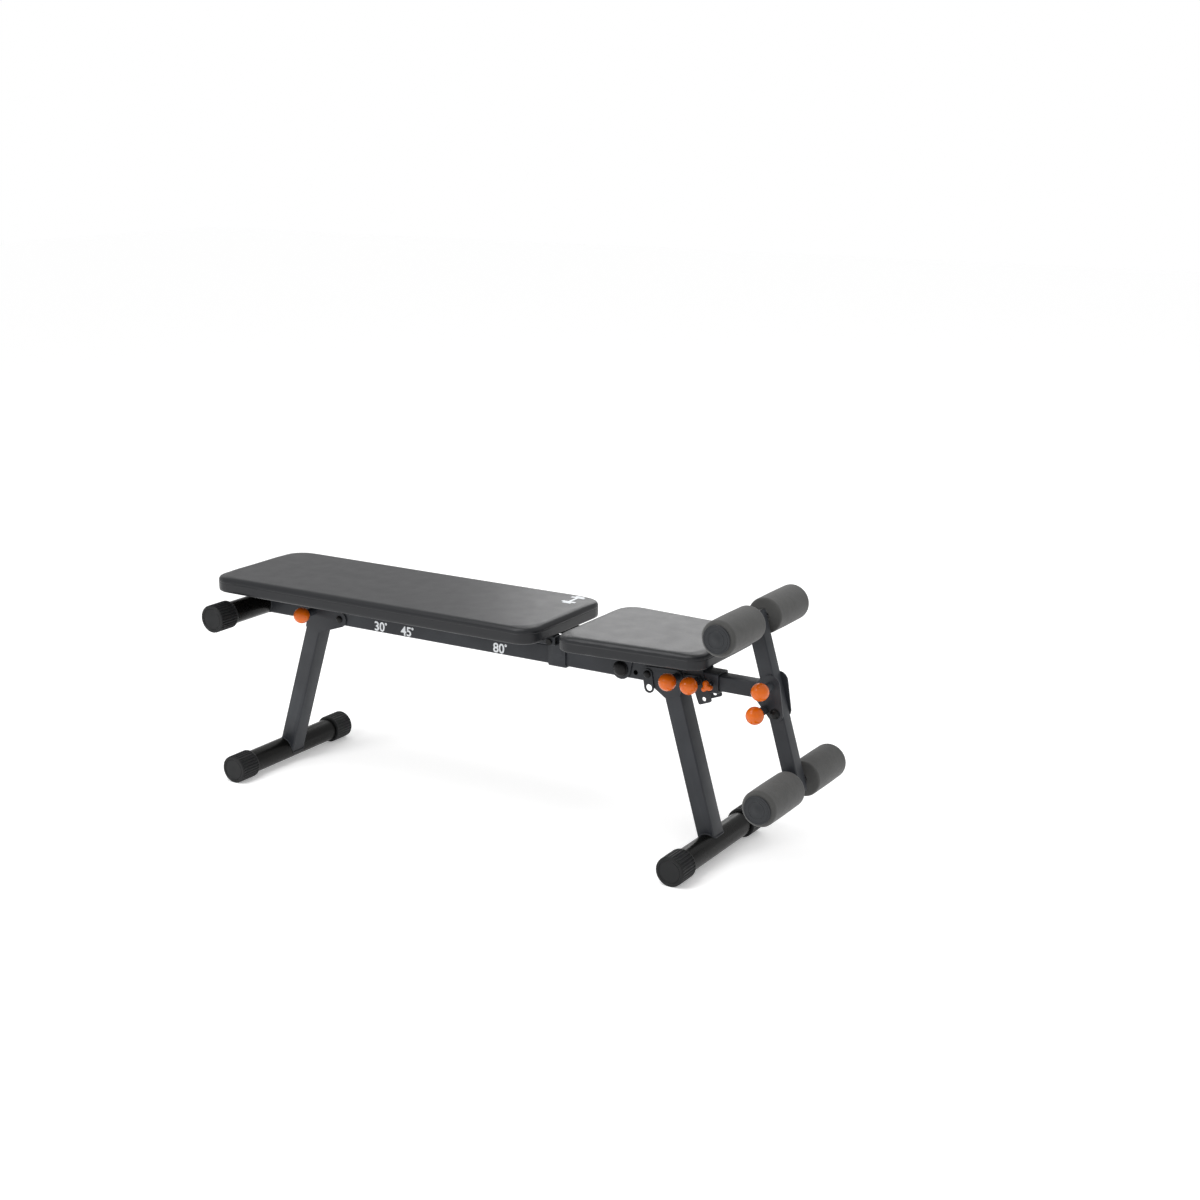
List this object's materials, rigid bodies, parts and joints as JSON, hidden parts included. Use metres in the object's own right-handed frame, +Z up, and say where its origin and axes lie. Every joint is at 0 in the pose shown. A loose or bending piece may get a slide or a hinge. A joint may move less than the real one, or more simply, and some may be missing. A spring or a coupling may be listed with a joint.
{
  "type": "adjustable weight bench",
  "caption": "Folding weight bench: padded backrest that tilts on a notched rail, tilting seat, sliding leg hold with foam rollers, folding legs locked by sprung ball-knob pins.",
  "frame": {"origin": "on the floor, under the middle of the bench's length and width", "axes": "+X along the rail from the head end to the leg hold, +Y to the bench's left, +Z up"},
  "size_m": [1.3851, 0.3726, 0.5375],
  "materials": {
    "frame_paint": "satin anthracite powder coat",
    "foot_paint": "satin black",
    "vinyl": "black upholstery vinyl, satin",
    "board": "dark sealed board",
    "foam": "matt closed-cell foam",
    "plastic": "black, finely ribbed",
    "knob": "glossy orange",
    "steel": "bright zinc",
    "bolt": "black"
  },
  "bodies": {
    "frame": {"rear_rail": "frame_paint", "front_beam": "frame_paint", "rail_collar": "frame_paint", "head_tube": "foot_paint", "head_cap_left": "plastic", "head_cap_right": "plastic", "notch_rack": "frame_paint", "rear_pivot_bolt": "bolt", "front_pivot_bolt": "bolt", "backrest_hinge_bolt": "bolt", "seat_pivot_bolt": "bolt", "beam_sleeve": "plastic", "tether_eye": "frame_paint", "post_keeper": "frame_paint"},
    "rear_leg": {"rear_leg": "frame_paint", "rear_foot_tube": "foot_paint", "rear_foot_cap_left": "plastic", "rear_foot_cap_right": "plastic"},
    "front_leg": {"front_leg": "frame_paint", "front_foot_tube": "foot_paint", "front_foot_cap_left": "plastic", "front_foot_cap_right": "plastic"},
    "rear_lock_pin": {"rear_lock_pin": "steel", "rear_lock_pin_knob": "knob"},
    "front_lock_pin": {"front_lock_pin": "steel", "front_lock_pin_knob": "knob"},
    "post_lock_pin": {"post_lock_pin": "steel", "post_lock_pin_knob": "knob"},
    "wing_knob": {"wing_knob": "knob", "wing_screw": "steel"},
    "backrest": {"backrest_cushion": "vinyl", "backrest_board": "board", "backrest_frame": "frame_paint", "prop_pivot_bolt": "bolt"},
    "prop": {"prop": "frame_paint"},
    "seat": {"seat_cushion": "vinyl", "seat_board": "board", "seat_bracket": "frame_paint", "seat_post_bolt": "bolt"},
    "seat_post": {"seat_post_left": "frame_paint", "seat_post_right": "frame_paint"},
    "extension": {"extension_tube": "frame_paint", "extension_cheek_left": "frame_paint", "extension_cheek_right": "frame_paint", "leg_hold_bolt": "bolt"},
    "upper_lock_pin": {"upper_lock_pin": "steel", "upper_lock_pin_knob": "knob"},
    "lower_lock_pin": {"lower_lock_pin": "steel", "lower_lock_pin_knob": "knob"},
    "leg_hold": {"leg_hold_arm": "frame_paint", "upper_roller_bar": "steel", "lower_roller_bar": "steel", "upper_end_cap_left": "plastic", "upper_end_cap_right": "plastic", "lower_end_cap_left": "plastic", "lower_end_cap_right": "plastic"},
    "upper_roller_left": {"upper_roller_left": "foam"},
    "upper_roller_right": {"upper_roller_right": "foam"},
    "lower_roller_left": {"lower_roller_left": "foam"},
    "lower_roller_right": {"lower_roller_right": "foam"}
  },
  "joints": [
    {"name": "rear_leg_fold", "type": "hinge", "parent": "frame", "child": "rear_leg", "pos_m": [-0.43395, 0, 0.361], "axis": [0, -1, 0], "range_deg": [0, 100]},
    {"name": "front_leg_fold", "type": "hinge", "parent": "frame", "child": "front_leg", "pos_m": [0.34305, 0, 0.364], "axis": [0, 1, 0], "range_deg": [0, 100]},
    {"name": "backrest_tilt", "type": "hinge", "parent": "frame", "child": "backrest", "pos_m": [0.12955, 0, 0.4035], "axis": [0, 1, 0], "range_deg": [0, 80]},
    {"name": "prop_swing", "type": "hinge", "parent": "backrest", "child": "prop", "pos_m": [-0.12575, 0, 0.401], "axis": [0, -1, 0], "range_deg": [0, 154]},
    {"name": "seat_tilt", "type": "hinge", "parent": "frame", "child": "seat", "pos_m": [0.28105, 0, 0.365], "axis": [0, -1, 0], "range_deg": [0, 13]},
    {"name": "seat_post_swing", "type": "hinge", "parent": "seat", "child": "seat_post", "pos_m": [0.44205, 0, 0.402], "axis": [0, 1, 0], "range_deg": [0, 14]},
    {"name": "extension_slide", "type": "slide", "parent": "frame", "child": "extension", "axis": [1, 0, 0], "range_m": [-0.02, 0.06]},
    {"name": "leg_hold_swing", "type": "hinge", "parent": "extension", "child": "leg_hold", "pos_m": [0.61905, 0, 0.328], "axis": [0, 1, 0], "range_deg": [0, 100]},
    {"name": "wing_knob_turn", "type": "hinge", "parent": "frame", "child": "wing_knob", "pos_m": [0.48205, -0.037, 0.365], "axis": [0, 1, 0], "continuous": true},
    {"name": "rear_lock_pin_pull", "type": "slide", "parent": "rear_leg", "child": "rear_lock_pin", "axis": [0, -1, 0], "range_m": [0, 0.008], "stiffness_N_per_m": 500, "springref_m": -0.004},
    {"name": "front_lock_pin_pull", "type": "slide", "parent": "front_leg", "child": "front_lock_pin", "axis": [0, -1, 0], "range_m": [0, 0.008], "stiffness_N_per_m": 500, "springref_m": -0.004},
    {"name": "post_lock_pin_pull", "type": "slide", "parent": "frame", "child": "post_lock_pin", "axis": [0, -1, 0], "range_m": [0, 0.008], "stiffness_N_per_m": 500, "springref_m": -0.004},
    {"name": "upper_lock_pin_pull", "type": "slide", "parent": "extension", "child": "upper_lock_pin", "axis": [0, -1, 0], "range_m": [0, 0.008], "stiffness_N_per_m": 500, "springref_m": -0.004},
    {"name": "lower_lock_pin_pull", "type": "slide", "parent": "extension", "child": "lower_lock_pin", "axis": [0, -1, 0], "range_m": [0, 0.008], "stiffness_N_per_m": 500, "springref_m": -0.004},
    {"name": "upper_roller_left_spin", "type": "hinge", "parent": "leg_hold", "child": "upper_roller_left", "pos_m": [0.56705, 0.095, 0.502], "axis": [0, 1, 0], "continuous": true},
    {"name": "upper_roller_right_spin", "type": "hinge", "parent": "leg_hold", "child": "upper_roller_right", "pos_m": [0.56705, -0.095, 0.502], "axis": [0, 1, 0], "continuous": true},
    {"name": "lower_roller_left_spin", "type": "hinge", "parent": "leg_hold", "child": "lower_roller_left", "pos_m": [0.65705, 0.095, 0.189], "axis": [0, 1, 0], "continuous": true},
    {"name": "lower_roller_right_spin", "type": "hinge", "parent": "leg_hold", "child": "lower_roller_right", "pos_m": [0.65705, -0.095, 0.189], "axis": [0, 1, 0], "continuous": true}
  ],
  "couplings": [
    {"joint": "prop_swing", "follows": "backrest_tilt", "ratio": 1.913},
    {"joint": "seat_post_swing", "follows": "seat_tilt", "ratio": 1.06}
  ]
}
